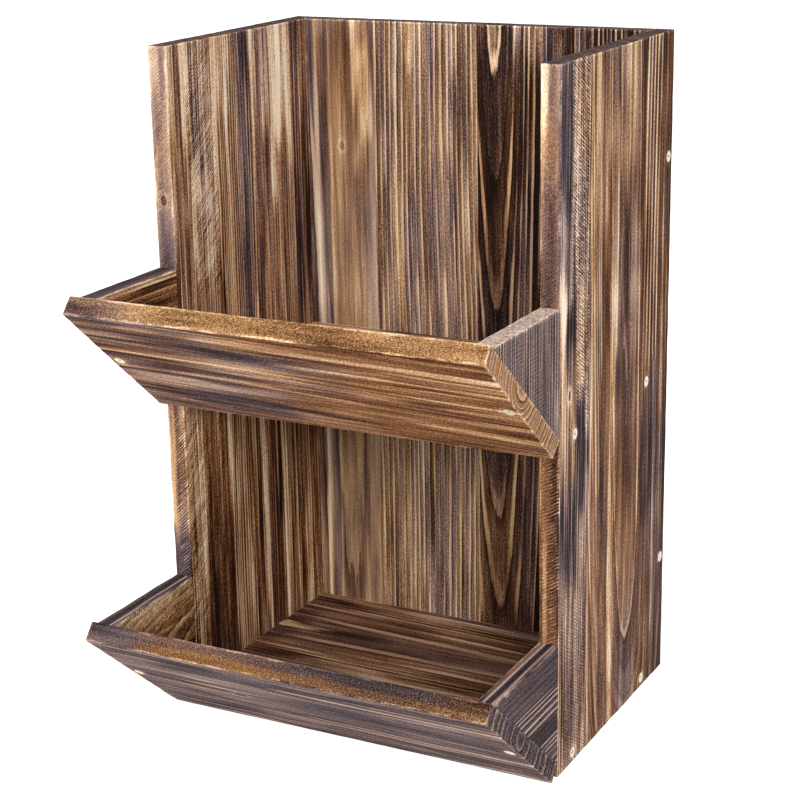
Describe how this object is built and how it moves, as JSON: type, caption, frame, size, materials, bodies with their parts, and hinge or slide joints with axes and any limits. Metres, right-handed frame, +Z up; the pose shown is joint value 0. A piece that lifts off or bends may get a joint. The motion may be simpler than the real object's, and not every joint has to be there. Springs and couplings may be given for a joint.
{
  "type": "two-tier produce rack",
  "caption": "Free-standing wooden produce rack with an open top, stacked shelves and slanted bin fronts, in torched and brushed softwood, screwed together.",
  "frame": {"origin": "middle of the footprint at floor level", "axes": "+Z up; the open bins face -Y and the back board faces +Y; +X is the right side seen from the front"},
  "size_m": [0.3, 0.312, 0.476],
  "materials": {
    "side_wood": "torched and brushed softwood, matt, raised grain",
    "back_wood": "torched and brushed softwood, matt, raised grain",
    "shelf_wood": "torched and brushed softwood, matt, raised grain",
    "cheek_wood": "torched and brushed softwood, matt, raised grain",
    "front_wood": "torched and brushed softwood, matt, raised grain",
    "dowel_wood": "plain beech, unfinished",
    "screw_steel": "zinc plated"
  },
  "bodies": {
    "root": {"left_side_front_stave": "side_wood", "left_side_rear_stave": "side_wood", "right_side_front_stave": "side_wood", "right_side_rear_stave": "side_wood", "back_left_stave": "back_wood", "back_middle_stave": "back_wood", "back_right_stave": "back_wood", "upper_shelf": "shelf_wood", "lower_shelf": "shelf_wood", "upper_left_cheek": "cheek_wood", "upper_right_cheek": "cheek_wood", "lower_left_cheek": "cheek_wood", "lower_right_cheek": "cheek_wood", "upper_front_board": "front_wood", "lower_front_board": "front_wood", "upper_cheek_dowels": "dowel_wood", "lower_cheek_dowels": "dowel_wood", "back_screws": "screw_steel", "upper_shelf_screws": "screw_steel", "lower_shelf_screws": "screw_steel", "upper_front_screws": "screw_steel", "lower_front_screws": "screw_steel"}
  },
  "joints": []
}
